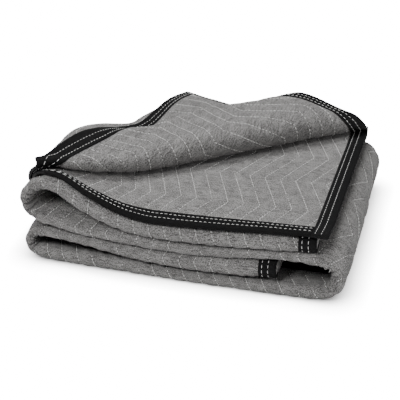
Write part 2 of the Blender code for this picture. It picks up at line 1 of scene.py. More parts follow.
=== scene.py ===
"""A folded quilted moving pad: the looks of its cloth, its bound edge and its stitches."""

import math

import bpy
import numpy as np
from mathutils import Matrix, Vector
from mathutils.geometry import delaunay_2d_cdt


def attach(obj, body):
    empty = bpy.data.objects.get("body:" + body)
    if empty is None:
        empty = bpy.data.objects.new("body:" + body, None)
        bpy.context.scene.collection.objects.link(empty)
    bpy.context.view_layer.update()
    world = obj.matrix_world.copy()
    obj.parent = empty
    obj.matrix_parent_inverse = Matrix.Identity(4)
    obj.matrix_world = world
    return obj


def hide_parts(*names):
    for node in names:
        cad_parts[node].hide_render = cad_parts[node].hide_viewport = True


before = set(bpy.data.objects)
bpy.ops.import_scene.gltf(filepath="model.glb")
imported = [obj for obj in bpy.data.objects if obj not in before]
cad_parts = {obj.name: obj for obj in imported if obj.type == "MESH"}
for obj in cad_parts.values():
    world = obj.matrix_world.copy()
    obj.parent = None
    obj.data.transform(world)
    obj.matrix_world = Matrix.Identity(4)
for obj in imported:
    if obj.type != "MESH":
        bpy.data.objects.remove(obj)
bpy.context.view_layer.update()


# The camera
# A long lens above the pile and to the right of its front. It looks down by one angle and to the
# left by the other, as a product photo does.
LOOKS_DOWN = 0.46495
LOOKS_LEFT = 0.26557
camera_data = bpy.data.cameras.new("camera")
camera_data.lens = 101.0
camera_data.sensor_width = 36.0
camera = bpy.data.objects.new("camera", camera_data)
camera.location = (0.4325, -1.6624, 0.8963)
camera.rotation_euler = (math.pi / 2 - LOOKS_DOWN, 0.0, LOOKS_LEFT)
bpy.context.collection.objects.link(camera)
bpy.context.scene.camera = camera


# The quilted cloth
# Two grey needled faces over a thin batting, sewn together in zigzag rows and cut as one sheet.
# It is folded twice across its width into a strip of four layers, then laid back and forth in
# four runs. Its place is worked out from the distance along it and the distance across it.
CLOTH = 0.0054               # thickness
CLOTH_AT_TAPE = 0.0026       # thickness under the tape, which presses it flat
LAYER = 0.0070               # from the middle of one layer to the next
TAPE_WIDTH = 0.026
FRONT = -0.221               # Y of the front rolls and of the back creases
BACK = 0.212
MIDDLE = np.array((0.0014, -0.0022, 0.0))    # of the pile, which then stands over the origin
FRONT_ZONE = 0.050           # depth behind the front over which the rolls close up
EDGE_LIFT = 0.0014           # of the bound edge, off the roll under it
PUFF_ENDS = (-0.03, 0.12)    # Y over which the puffed left side gets flat
DRAW = 0.040                 # how far the back of the left side's upper half is drawn in,
DRAW_ENDS = (0.070, 0.260)   # over this Y
DRAW_X = (-0.05, -0.15)      # and over this X

# The fold path, seen from the front: the middle of the strip, in front and at the back, the
# middle and half height of the front roll, how far it stands back, and how far behind it the
# bound edges lie.
PATH_COLUMNS = ("x", "z", "back_x", "back_z", "roll_z", "roll_half", "recess", "set_back")
RUN_1 = (
    (0.218, 0.1013, 0.218, 0.1013, 0.0890, 0.0138, 0.000, 0.002),
    (0.149, 0.1013, 0.149, 0.1013, 0.0852, 0.0145, 0.000, 0.002),
    (0.057, 0.1013, 0.057, 0.1013, 0.0792, 0.0150, 0.000, 0.002),
    (-0.038, 0.1013, -0.036, 0.1013, 0.0775, 0.0135, 0.001, 0.002),
    (-0.095, 0.1040, -0.084, 0.1013, 0.0865, 0.0140, 0.002, 0.002),
    (-0.150, 0.1195, -0.128, 0.1013, 0.1090, 0.0142, 0.003, 0.003),
    (-0.206, 0.1380, -0.165, 0.1013, 0.1370, 0.0125, 0.004, 0.006),
)
RUN_2 = (
    (-0.206, 0.0752, -0.165, 0.0731, 0.0715, 0.0092, 0.006, 0.064),
    (-0.150, 0.0737, -0.128, 0.0731, 0.0605, 0.0096, 0.006, 0.064),
    (-0.086, 0.0733, -0.076, 0.0731, 0.0565, 0.0110, 0.006, 0.064),
    (0.010, 0.0733, 0.010, 0.0733, 0.0515, 0.0098, 0.006, 0.064),
    (0.103, 0.0733, 0.103, 0.0733, 0.0570, 0.0088, 0.006, 0.064),
    (0.190, 0.0733, 0.190, 0.0733, 0.0645, 0.0085, 0.004, 0.064),
    (0.223, 0.0733, 0.223, 0.0733, 0.0640, 0.0098, 0.001, 0.064),
)
RUN_3 = (
    (0.223, 0.0132, 0.223, 0.0132, 0.0120, 0.0120, -0.004, 0.064),
    (0.190, 0.0132, 0.190, 0.0132, 0.0102, 0.0102, -0.004, 0.064),
    (0.103, 0.0132, 0.103, 0.0132, 0.0082, 0.0082, -0.003, 0.064),
    (0.010, 0.0132, 0.010, 0.0132, 0.0078, 0.0078, -0.002, 0.064),
    (-0.086, 0.0132, -0.080, 0.0132, 0.0100, 0.0100, 0.001, 0.064),
    (-0.165, 0.0132, -0.155, 0.0132, 0.0112, 0.0112, 0.003, 0.064),
    (-0.2275, 0.0132, -0.2095, 0.0132, 0.0140, 0.0106, 0.005, 0.064),
)
RUN_4 = (
    (-0.2275, 0.0452, -0.2095, 0.0452, 0.0500, 0.0080, 0.006, 0.064),
    (-0.165, 0.0452, -0.155, 0.0452, 0.0445, 0.0070, 0.006, 0.064),
    (-0.086, 0.0452, -0.080, 0.0452, 0.0342, 0.0095, 0.004, 0.064),
    (0.010, 0.0452, 0.010, 0.0452, 0.0288, 0.0115, 0.002, 0.064),
    (0.103, 0.0452, 0.103, 0.0452, 0.0320, 0.0138, 0.001, 0.064),
    (0.158, 0.0452, 0.158, 0.0452, 0.0362, 0.0144, 0.001, 0.064),
)


def half_turn(start, end, steps, reach, back_reach, tighter, deeper=0.0):
    """The rows between two runs. The strip reaches out along X, in front and at the back."""
    rows = []
    for step in range(1, steps):
        angle = math.pi * step / steps
        row = [a + (b - a) * (1.0 - math.cos(angle)) / 2 for a, b in zip(start, end)]
        row[PATH_COLUMNS.index("x")] += reach * math.sin(angle)
        row[PATH_COLUMNS.index("back_x")] += back_reach * math.sin(angle)
        row[PATH_COLUMNS.index("roll_half")] -= tighter * math.sin(angle)
        row[PATH_COLUMNS.index("set_back")] += deeper * math.sin(angle)
        rows.append(tuple(row))
    return tuple(rows)


UPPER_LOOP = half_turn(RUN_1[-1], RUN_2[0], 8, -0.0425, -0.0141, 0.0040, 0.024)
RIGHT_TURN = half_turn(RUN_2[-1], RUN_3[0], 6, 0.031, 0.027, 0.0)
LOWER_LOOP = half_turn(RUN_3[-1], RUN_4[0], 6, -0.0180, -0.0160, 0.0025)
STRETCHES = (RUN_1, UPPER_LOOP, RUN_2, RIGHT_TURN, RUN_3, LOWER_LOOP, RUN_4)
PATH = np.array(sum(STRETCHES, ()))
PATH_PLACES = np.concatenate([[0.0], np.cumsum(np.hypot(np.diff(PATH[:, 0]), np.diff(PATH[:, 1])))])
LENGTH = float(PATH_PLACES[-1])
UPPER_HALF = float(PATH_PLACES[len(RUN_1 + UPPER_LOOP) + 3])
RUN_ENDS = [float(PATH_PLACES[sum(map(len, STRETCHES[:i])) - 1]) for i in (1, 3, 5)]
RUN_STARTS = [float(PATH_PLACES[sum(map(len, STRETCHES[:i]))]) for i in (2, 4, 6)]

CREASE_Y = BACK - 1.5 * LAYER - CLOTH / 2
LAYER_DEPTH = 0.411          # from a back crease to a front roll, on the flat cloth
EVEN_DEPTH = 0.300           # the part of it that no recess of the front shortens
OUTER_CREASE = 1.5 * math.pi * LAYER
INNER_CREASE = 0.5 * math.pi * LAYER
ROLL = 0.036                 # round a front roll
# Where the cloth's bends start and end across it, and how far its two ends slant
ACROSS = np.cumsum([0.0, LAYER_DEPTH, OUTER_CREASE, LAYER_DEPTH, ROLL, LAYER_DEPTH,
                    INNER_CREASE, LAYER_DEPTH])
WIDTH = float(ACROSS[-1])
TOP_END = ((ACROSS[1], -0.019), (ACROSS[3] - 0.1, 0.0), (ACROSS[4] + 0.1, 0.0), (ACROSS[6], -0.019))
INNER_END = ((ACROSS[1], 0.040), (ACROSS[3] - 0.1, 0.0), (ACROSS[4] + 0.1, 0.0), (ACROSS[6], 0.034))

# The corner of the top layer is turned back over this line and rolls down onto the pile
TURN_LEFT = np.array((-0.2330, -0.2035))
TURN_RIGHT = np.array((0.238, 0.1945))
TURN_RADIUS = (0.0065, 0.0245, 0.0100)       # at the line's left end, its middle and right end
TURN_START = 0.42                            # in front of the line, in radii
TURN_MARGIN = 0.03                           # how far past the line's left end it still turns
SHORTENING = 0.97                            # of the turned corner, by its own waves
SAG_START = 0.060
SAG_LENGTH = 0.060
LANDING = 0.0085
LOFT = 0.0030
LOFT_FADE = (0.08, 0.05)                     # along the cloth, and across it as a share
PEEL_REACH = 0.50

# What its free edge does: it hangs at the back, and rises at its tip, at a shoulder behind the
# tip and in an arch between them. Places and depths are on the flat cloth.
HANG = 0.016
HANG_DEPTH = 0.026
HANG_ENDS = (0.215, 0.150)
TIP_LIFT = 0.023
TIP_REACH = 0.33
TIP_DEPTH = 0.24
SHOULDER = 0.014
SHOULDER_PLACE = 0.090
SHOULDER_HALF = 0.100
SHOULDER_REACH = 0.16
ARCH = 0.015
ARCH_PLACE = 0.262
ARCH_HALF = 0.100
ARCH_DEPTH = 0.15


def ease(value):
    """Goes smoothly from 0 to 1 while the value does."""
    value = np.clip(value, 0.0, 1.0)
    return value * value * (3.0 - 2.0 * value)


def mix(a, b, share):
    return a + (b - a) * share


def column(name, along):
    """A column of the path's table at a distance along the cloth, on a smooth curve."""
    values = PATH[:, PATH_COLUMNS.index(name)]
    steps = np.diff(values) / np.diff(PATH_PLACES)
    slopes = np.gradient(values, PATH_PLACES)
    steepest = 3.0 * np.minimum(np.abs(steps[:-1]), np.abs(steps[1:]))
    slopes[1:-1] = np.clip(slopes[1:-1], -steepest, steepest) * (steps[:-1] * steps[1:] > 0.0)
    inside = np.clip(along, 0.0, LENGTH)
    row = np.clip(np.searchsorted(PATH_PLACES, inside, side="right") - 1, 0, len(values) - 2)
    step = PATH_PLACES[row + 1] - PATH_PLACES[row]
    t = (inside - PATH_PLACES[row]) / step
    start, end = values[row], values[row + 1]
    start_slope, end_slope = slopes[row] * step, slopes[row + 1] * step
    curve = ((2 * t**3 - 3 * t**2 + 1) * start + (t**3 - 2 * t**2 + t) * start_slope
             + (3 * t**2 - 2 * t**3) * end + (t**3 - t**2) * end_slope)
    past_slope = np.where(along < 0.0, slopes[0], slopes[-1])
    return curve + past_slope * (along - inside)


def line_and_normal(x_at, z_at, along):
    """A curve in the XZ plane and its normal, on the side of the top layer."""
    tiny = 0.0015
    x, z = x_at(along), z_at(along)
    run = x_at(along + tiny) - x_at(along - tiny)
    rise = z_at(along + tiny) - z_at(along - tiny)
    size = np.hypot(run, rise)
    return x, z, rise / size, -run / size


def strip_middle(along, y):
    """The middle of the four layers. Towards the back the left side gets flatter, and then its
    upper half is drawn in."""
    back = ease((y - PUFF_ENDS[0]) / (PUFF_ENDS[1] - PUFF_ENDS[0]))
    drawn = DRAW * ease((y - DRAW_ENDS[0]) / (DRAW_ENDS[1] - DRAW_ENDS[0]))

    def x_at(d):
        x = mix(column("x", d), column("back_x", d), back)
        return x + drawn * ease((DRAW_X[0] - x) / (DRAW_X[0] - DRAW_X[1])) * (d < UPPER_HALF)

    return line_and_normal(x_at, lambda d: mix(column("z", d), column("back_z", d), back), along)


def roll_middle(along):
    return line_and_normal(lambda d: column("x", d), lambda d: column("roll_z", d), along)


def roll_front(along):
    return FRONT + column("recess", along)


def in_layer(along, y, height):
    """A point of a layer that lies at a height over the strip's middle."""
    x, z, nx, nz = strip_middle(along, y)
    return np.stack([x + nx * height, y, z + nz * height], axis=-1)


def front_layers(along, depth):
    """The middle of the two layers that meet in the front roll, a depth behind its front, with
    their normal, and how far each of them lies from that middle."""
    x, z, nx, nz = strip_middle(along, roll_front(along) + depth)
    behind = np.stack([x - nx * LAYER, z - nz * LAYER, nx, nz], axis=-1)
    roll = np.stack(roll_middle(along), axis=-1)
    blend = mix(roll, behind, ease(depth / FRONT_ZONE)[..., None])
    nose = column("roll_half", along) - CLOTH / 2
    return blend, mix(nose, LAYER / 2, ease(depth / FRONT_ZONE)), nose


def resting_layer(along, y, height):
    """A point of a layer that lies on the inner one: on the front roll and on what is behind."""
    depth = y - roll_front(along) - CLOTH / 2
    around, opening, _ = front_layers(along, depth)
    reach = opening + 0.5 * LAYER + height + EDGE_LIFT * (1.0 - ease(depth / FRONT_ZONE))
    return np.stack([around[..., 0] + around[..., 2] * reach, y, around[..., 1] + around[..., 3] * reach],
                    axis=-1)


def layer_y(front, share):
    """Y at a share of a layer's depth, from its back crease to the Y of its front."""
    distance = share * LAYER_DEPTH
    room = (CREASE_Y - front - EVEN_DEPTH) / (LAYER_DEPTH - EVEN_DEPTH)
    return CREASE_Y - np.where(distance < EVEN_DEPTH, distance, EVEN_DEPTH + (distance - EVEN_DEPTH) * room)


def bound_edge(along):
    return roll_front(along) + column("set_back", along)


def rolled_layers(along, depth, side):
    """The two layers that meet in the front roll. Side is 1 for the inner, -1 for the outer."""
    around, opening, nose = front_layers(along, depth)
    rounding = np.sqrt(np.clip(1.0 - (1.0 - np.clip(depth / nose, 0.0, 1.0)) ** 2, 0.0, 1.0))
    reach = side * opening * rounding
    y = roll_front(along) + CLOTH / 2 + depth
    return np.stack([around[..., 0] + around[..., 2] * reach, y, around[..., 1] + around[..., 3] * reach],
                    axis=-1)


def turn_radius(share):
    """Of the turned corner's roll, at a share of its length from the left."""
    share = np.clip(share, 0.0, 1.0)
    bulge = np.where(share < 0.5, ease(2.0 * share), np.sin(math.pi * share) ** 0.55)
    return mix(mix(TURN_RADIUS[0], TURN_RADIUS[2], share), TURN_RADIUS[1], bulge)


def from_fold(along, y):
    """Where a flat place on the top layer is: along the fold line, and how far behind it."""
    flat = np.stack([PATH[0, 0] - along, y], axis=-1) - TURN_LEFT
    line = TURN_RIGHT - TURN_LEFT
    span = float(np.hypot(*line))
    line = line / span
    return flat @ line, flat @ np.array((-line[1], line[0])), line, span


def peel(along, y):
    """Turns the top layer's corner back. Gives the new place and the height over the layer."""
    on_line, behind, line, span = from_fold(along, y)
    radius = turn_radius(on_line / span)
    past = np.where(on_line > -TURN_MARGIN, TURN_START * radius - behind, 0.0)
    angle = np.clip(past / radius, 0.0, math.pi)
    after = np.clip(past - math.pi * radius, 0.0, None)
    height = radius * (1.0 - np.cos(angle))
    height = np.where(after > 0.0, mix(2.0 * radius, LANDING, ease((after - SAG_START) / SAG_LENGTH)), height)
    place = np.where(past > 0.0, TURN_START * radius - radius * np.sin(angle) + SHORTENING * after, behind)
    moved = TURN_LEFT + on_line[..., None] * line + place[..., None] * np.array((-line[1], line[0]))
    return PATH[0, 0] - moved[..., 0], moved[..., 1], height


def end_places(across):
    """Where the cloth's two ends are, at a distance across it."""
    return np.interp(across, *zip(*TOP_END)), LENGTH + np.interp(across, *zip(*INNER_END))


def corner_drape(along, across):
    """Height of the turned corner's free edge over where it would lie."""
    inset = along - end_places(across)[0]
    share = ease((HANG_ENDS[0] - across) / (HANG_ENDS[0] - HANG_ENDS[1]))
    hang = HANG * share * np.clip(1.0 - inset / HANG_DEPTH, 0.0, None) ** 1.5
    tip = TIP_LIFT * ease(1.0 - across / TIP_REACH) * ease(1.0 - inset / TIP_DEPTH)
    arch = ARCH * ease(1.0 - np.abs(across - ARCH_PLACE) / ARCH_HALF) * ease(1.0 - inset / ARCH_DEPTH)
    ridge = ease(1.0 - np.abs(inset - SHOULDER_PLACE) / SHOULDER_HALF)
    return tip + arch + SHOULDER * (ridge * ease(1.0 - across / SHOULDER_REACH)) - hang


def cloth(along, across):
    """The middle of the cloth at a distance along and across it."""
    along, across = np.broadcast_arrays(np.asarray(along, float), np.asarray(across, float))
    point = np.zeros(along.shape + (3,))
    part = np.clip(np.searchsorted(ACROSS, across, side="right") - 1, 0, len(ACROSS) - 2)
    share = (across - ACROSS[part]) / np.diff(ACROSS)[part]

    top = part == 0
    if top.any():
        place, y, height = peel(along[top], layer_y(bound_edge(along[top]), 1.0 - share[top]))
        loose = ease((PEEL_REACH - along[top]) / LOFT_FADE[0]) * ease((1.0 - share[top]) / LOFT_FADE[1])
        height = height + corner_drape(along[top], across[top])
        point[top] = resting_layer(place, y, 1.5 * LAYER + height + LOFT * loose)

    for number, radius in ((1, 1.5 * LAYER), (5, 0.5 * LAYER)):
        crease = part == number
        if crease.any():
            turn = math.pi * share[crease]
            height = radius * np.cos(turn) * (1 if number == 1 else -1)
            y = CREASE_Y + radius * np.sin(turn)
            bent = in_layer(along[crease], np.full_like(y, CREASE_Y), height)
            bent[..., 1] = y
            point[crease] = bent

    for number, side in ((2, -1), (4, 1)):
        layer = part == number
        if layer.any():
            d = along[layer]
            nose = column("roll_half", d) - CLOTH / 2
            face = roll_front(d) + CLOTH / 2
            forward = share[layer] if number == 2 else 1.0 - share[layer]
            point[layer] = rolled_layers(d, layer_y(face + nose, forward) - face, side)

    roll = part == 3
    if roll.any():
        d = along[roll]
        nose = column("roll_half", d) - CLOTH / 2
        turn = math.pi * (share[roll] - 0.5)
        point[roll] = rolled_layers(d, nose * (1.0 - np.cos(turn)), np.sign(turn))

    under = part == 6
    if under.any():
        d = along[under]
        point[under] = resting_layer(d, layer_y(bound_edge(d), share[under]), 0.5 * LAYER)
    return point - MIDDLE


def outward(along, across):
    """The cloth's normal, on its outer face: the top layer's upper one."""
    tiny = 0.0012
    across = np.clip(across, 0.0, WIDTH)
    low, high = np.clip(across - tiny, 0.0, WIDTH), np.clip(across + tiny, 0.0, WIDTH)
    by_length = cloth(along + tiny, across) - cloth(along - tiny, across)
    by_width = cloth(along, high) - cloth(along, low)
    normal = np.cross(by_width, by_length)
    return normal / np.linalg.norm(normal, axis=-1, keepdims=True)


def edge_distance(along, across):
    first, last = end_places(across)
    return np.minimum(np.minimum(across, WIDTH - across), np.minimum(along - first, last - along))


def lumps(along, across, step_along, step_across, seed):
    """Soft unevenness between -1 and 1 over the flat cloth, with a lump every step."""
    u, v = (along + 0.1) / step_along, across / step_across
    table = np.random.default_rng(seed).uniform(-1.0, 1.0, (int(u.max()) + 3, int(v.max()) + 3))
    i, j = np.floor(u).astype(int), np.floor(v).astype(int)
    s, t = ease(u - i), ease(v - j)
    return mix(mix(table[i, j], table[i + 1, j], s), mix(table[i, j + 1], table[i + 1, j + 1], s), t)


# The quilting: rows every inch that zigzag across the cloth. A row draws both faces in.
QUILT_PITCH = 0.0254
QUILT_SWING = 0.0193
QUILT_HALF_WAVE = 0.098
QUILT_CORNER = WIDTH - 0.0745
QUILT_START = -0.0050
QUILT_SLANT = 0.93           # of a row's pitch is left square to the row
GROOVES = ((-0.0011, 0.0026), (-0.0004, 0.007))    # at a row: height and half width
PUFF = 0.0005
PUCKER = (0.00045, 0.006)    # beside a row: height and half width
UNEVEN = ((0.0006, 0.045, 0.060, 13), (0.0003, 0.013, 0.017, 14))   # height, then as lumps() has it
ROLL_RIDGES = 0.0008         # that run across the front rolls
ROLL_REACH = 0.055


def quilt_row_at(across):
    """How far a quilting row lies along the cloth, at a distance across it."""
    phase = (across - QUILT_CORNER) / QUILT_HALF_WAVE
    return QUILT_START + QUILT_SWING * (1.0 - 2.0 * np.abs(np.mod(phase, 2.0) - 1.0))


# Where the cloth bends hard its inner side gathers in pleats that run in from the front rolls.
# Columns: the bend, the pleat's place in it, half width, depth, and how far back it goes
PLEATS = (
    (0, 0.14, 0.0030, 0.0028, 0.050), (0, 0.27, 0.0024, 0.0047, 0.060), (0, 0.385, 0.0022, 0.0066, 0.075),
    (0, 0.47, 0.0026, 0.0066, 0.070), (0, 0.56, 0.0022, 0.0066, 0.075), (0, 0.66, 0.0026, 0.0053, 0.060),
    (0, 0.79, 0.0030, 0.0034, 0.060), (0, 0.93, 0.0034, 0.0028, 0.050),
    (1, 0.1, 0.0026, 0.0020, 0.030), (1, 0.21, 0.0026, 0.0032, 0.040), (1, 0.31, 0.0026, 0.0044, 0.030),
    (1, 0.42, 0.0022, 0.0066, 0.045), (1, 0.53, 0.0026, 0.0066, 0.034), (1, 0.64, 0.0022, 0.0066, 0.042),
    (1, 0.76, 0.0026, 0.0053, 0.034), (1, 0.9, 0.0028, 0.0040, 0.030),
    (2, 0.08, 0.0026, 0.0039, 0.040), (2, 0.22, 0.0022, 0.0056, 0.050), (2, 0.36, 0.0024, 0.0064, 0.045),
    (2, 0.5, 0.0020, 0.0064, 0.050), (2, 0.64, 0.0024, 0.0064, 0.045), (2, 0.8, 0.0022, 0.0049, 0.050),
    (2, 0.95, 0.0026, 0.0035, 0.040),
)
PLEAT_FRONT = (ACROSS[3] + 0.020, ACROSS[4] - 0.016, ACROSS[4] - 0.020)
PLEAT_WAY = (-1.0, 1.0, 1.0)
PLEAT_SIDE = (2.1, 0.4)      # the swell beside a pleat: its place in half widths, and its share


def pleats(along, across):
    """How deep the pleats are at flat places, with the swell beside each."""
    total = np.zeros_like(along)
    for bend, place, half_width, depth, reach in PLEATS:
        middle = mix(RUN_ENDS[bend], RUN_STARTS[bend], place)
        back = (across - PLEAT_FRONT[bend]) * PLEAT_WAY[bend]
        fade = ease((back + 0.010) / 0.012) * ease(1.0 - back / reach)
        total -= depth * fade * np.exp(-((along - middle) / half_width) ** 2)
        beside = along - middle - PLEAT_SIDE[0] * half_width
        total += PLEAT_SIDE[1] * depth * fade * np.exp(-(beside / half_width) ** 2)
    return total


def relief(along, across):
    """How far the quilted face stands out: padded between the rows, drawn in at them."""
    rows = (along - quilt_row_at(across)) / QUILT_PITCH
    near = np.abs(rows - np.round(rows)) * QUILT_PITCH * QUILT_SLANT
    groove = sum(height * np.exp(-(near / half) ** 2) for height, half in GROOVES)
    puff = PUFF * (1.0 + 0.5 * lumps(along, across, 0.021, 0.034, 11))
    pucker = PUCKER[0] * lumps(along, across, 0.0062, 0.011, 12) * np.exp(-(near / PUCKER[1]) ** 2)
    uneven = sum(row[0] * lumps(along, across, *row[1:]) for row in UNEVEN)
    shape = groove + puff + pucker + uneven
    on_roll = np.clip(1.0 - np.abs(across - (ACROSS[3] + ROLL / 2)) / ROLL_REACH, 0.0, 1.0)
    shape += ease(on_roll * 1.6) * ROLL_RIDGES * lumps(along, across, 0.0085, 0.060, 15)
    return (shape + pleats(along, across)) * ease((edge_distance(along, across) - TAPE_WIDTH) / 0.008)


def cloth_face(along, across, side):
    """A face of the cloth: side 1 is its outer face, -1 the other one."""
    half = mix(CLOTH_AT_TAPE, CLOTH, ease((edge_distance(along, across) - TAPE_WIDTH) / 0.012)) / 2
    normal = side * outward(along, across)
    place = cloth(along, across) + normal * (half + relief(along, across))[..., None]
    place[..., 2] = np.maximum(place[..., 2], 0.0)
    return place, normal


# Where the cloth shows it has fine steps, worked into the quilting's rows; the rest is coarse.
# Columns: from and to along the cloth, from and to across it, steps to a row's pitch, step across
EDGE = TAPE_WIDTH + 0.002
OUTER_ZONES = (
    (RUN_ENDS[0] - 0.012, RUN_STARTS[0] + 0.030, ACROSS[3] - 0.045, ACROSS[3] + 0.034, 14, 0.0023),
    (RUN_ENDS[1] - 0.020, RUN_STARTS[1] + 0.030, ACROSS[3], ACROSS[4] + 0.046, 12, 0.0025),
    (RUN_ENDS[2] - 0.020, RUN_STARTS[2] + 0.030, ACROSS[3] - 0.004, ACROSS[4] + 0.040, 12, 0.0025),
    (0.0, LENGTH, ACROSS[3] - 0.046, ACROSS[4] + 0.046, 6, 0.0038),
    (RUN_ENDS[0] - 0.03, RUN_STARTS[0] + 0.05, EDGE, ACROSS[2] + 0.005, 5, 0.0055),
    (RUN_ENDS[0] - 0.07, RUN_STARTS[0] + 0.07, ACROSS[2], ACROSS[3], 5, 0.0070),
    (RUN_ENDS[1] - 0.02, RUN_STARTS[1] + 0.02, ACROSS[1], ACROSS[3], 5, 0.0070),
    (RUN_ENDS[2] - 0.03, RUN_STARTS[2] + 0.03, ACROSS[1], ACROSS[3], 5, 0.0070),
    (0.0, LENGTH, ACROSS[1] - 0.012, ACROSS[2] + 0.012, 4, 0.0055),
    (0.0, RUN_ENDS[0], EDGE, ACROSS[1], 3, 0.0080),
    (RUN_STARTS[1], RUN_ENDS[2], ACROSS[2], ACROSS[3], 3, 0.0090),
)
INNER_ZONES = (
    (0.0, RUN_ENDS[0] + 0.03, ACROSS[6] - 0.01, WIDTH - EDGE, 7, 0.0035),
    (0.0, RUN_ENDS[0] + 0.06, EDGE, ACROSS[1] + 0.01, 7, 0.0035),
)
COARSE = 0.022
BEND_STEP = 0.0055
BORDER_STEP = 0.0045


def inside_zone(points, zone, margin):
    start, end, low, high = zone[:4]
    return ((points[:, 0] > start - margin) & (points[:, 0] < end + margin)
            & (points[:, 1] > low - margin) & (points[:, 1] < high + margin))


def face_points(zones):
    """Flat places for one face of the cloth, dense in its zones."""
    kept = []
    for number, zone in enumerate(zones):
        start, end, low, high, steps, across_step = zone
        rows = np.arange(math.ceil(low / across_step), math.floor(high / across_step) + 1) * across_step
        step = QUILT_PITCH / steps
        found = []
        for row in rows:
            offset = float(quilt_row_at(row))
            first = math.ceil((start - 0.03 - offset) / step)
            last = math.floor((end + 0.03 - offset) / step)
            count = np.arange(first, last + 1)
            found.append(np.stack([count * step + offset, np.full(len(count), row)], axis=1))
        found = np.concatenate(found)
        found = found[inside_zone(found, zone, 0.0)]
        for earlier in zones[:number]:
            found = found[~inside_zone(found, earlier, step / 2)]
        kept.append(found)
    bends = [np.arange(a, b, BEND_STEP) for a, b in zip(RUN_ENDS, RUN_STARTS)]
    runs = [np.arange(a + COARSE, b, COARSE)
            for a, b in zip([-0.02] + RUN_STARTS, RUN_ENDS + [LENGTH + 0.04])]
    places = np.sort(np.concatenate(bends + runs))
    creases = np.concatenate([np.linspace(ACROSS[i], ACROSS[i + 1], 7) for i in (1, 5)])
    layers = np.concatenate([np.arange(ACROSS[i] + COARSE / 2, ACROSS[i + 1] - 0.008, COARSE)
                             for i in (0, 2, 4, 6)])
    noses = np.linspace(ACROSS[3], ACROSS[4], 9)
    rows = np.sort(np.concatenate([creases, layers, noses]))
    coarse = np.stack(np.meshgrid(places, rows), axis=-1).reshape(-1, 2)
    for zone in zones:
        coarse = coarse[~inside_zone(coarse, zone, 0.004)]
    found = np.concatenate(kept + [coarse])
    return found[edge_distance(found[:, 0], found[:, 1]) > EDGE - 0.0005]


def border_points():
    """Flat places round the cloth's edge, and two lines inside it under the tape."""
    sides = np.arange(0.0, 1.0, BORDER_STEP / LENGTH)
    ends = np.arange(0.0, 1.0, BORDER_STEP / WIDTH)
    rings = []
    for inset in (0.0, TAPE_WIDTH / 2, TAPE_WIDTH):
        corners = []
        for share in sides:
            first, last = end_places(0.0)
            corners.append((mix(first + inset, last - inset, share), inset))
        for share in ends:
            row = mix(inset, WIDTH - inset, share)
            corners.append((end_places(row)[1] - inset, row))
        for share in sides:
            first, last = end_places(WIDTH)
            corners.append((mix(last - inset, first + inset, share), WIDTH - inset))
        for share in ends:
            row = mix(WIDTH - inset, inset, share)
            corners.append((end_places(row)[0] + inset, row))
        rings.append(np.array(corners, float))
    return rings


def fill_flat(rings, points):
    """The triangles of one face: the rim first, then the lines under the tape, then the points."""
    flat = np.concatenate(rings + [points])
    count = len(rings[0])
    edges = [(i, (i + 1) % count) for i in range(count)]
    found = delaunay_2d_cdt([Vector(p) for p in flat], edges, [], 1, 1e-7, False)
    return np.array([(p[0], p[1]) for p in found[0]]), np.array(found[2])


rings = border_points()
faces, flats, coords = [], [], []
for side, zones in ((1, OUTER_ZONES), (-1, INNER_ZONES)):
    flat, triangles = fill_flat(rings, face_points(zones))
    a, b, c = flat[triangles[:, 0]], flat[triangles[:, 1]], flat[triangles[:, 2]]
    left = (b[:, 0] - a[:, 0]) * (c[:, 1] - a[:, 1]) > (b[:, 1] - a[:, 1]) * (c[:, 0] - a[:, 0])
    turned = np.where((left == (side > 0))[:, None], triangles[:, ::-1], triangles)
    faces.append(turned + sum(map(len, flats)))
    flats.append(flat)
    coords.append(cloth_face(flat[:, 0], flat[:, 1], side)[0])
rim = np.arange(len(rings[0]))
after = np.roll(rim, -1)
under = len(flats[0])
faces.append(np.stack([rim, after, after + under], axis=1))
faces.append(np.stack([rim, after + under, rim + under], axis=1))
mesh = bpy.data.meshes.new("pad_cloth")
mesh.from_pydata(np.concatenate(coords).tolist(), [], np.concatenate(faces).tolist())
mesh.shade_smooth()
pad_cloth = bpy.data.objects.new("pad_cloth", mesh)
bpy.context.collection.objects.link(pad_cloth)


def add_flat_map(mesh, flat):
    """Gives a mesh a UV map of its places on the flat cloth, in metres."""
    corners = np.zeros(len(mesh.loops), dtype=np.int32)
    mesh.loops.foreach_get("vertex_index", corners)
    layer = mesh.uv_layers.new(name="flat_cloth")
    layer.data.foreach_set("uv", flat[corners].astype(np.float32).ravel())


add_flat_map(mesh, np.concatenate(flats))


def new_group(name, sockets):
    """A shader group with those inputs and outputs: (name, direction, kind, value)."""
    group = bpy.data.node_groups.new(name, "ShaderNodeTree")
    for label, direction, kind, value in sockets:
        socket = group.interface.new_socket(label, in_out=direction, socket_type=kind)
        if value is not None:
            socket.default_value = value
    return group, group.nodes.new("NodeGroupInput"), group.nodes.new("NodeGroupOutput")


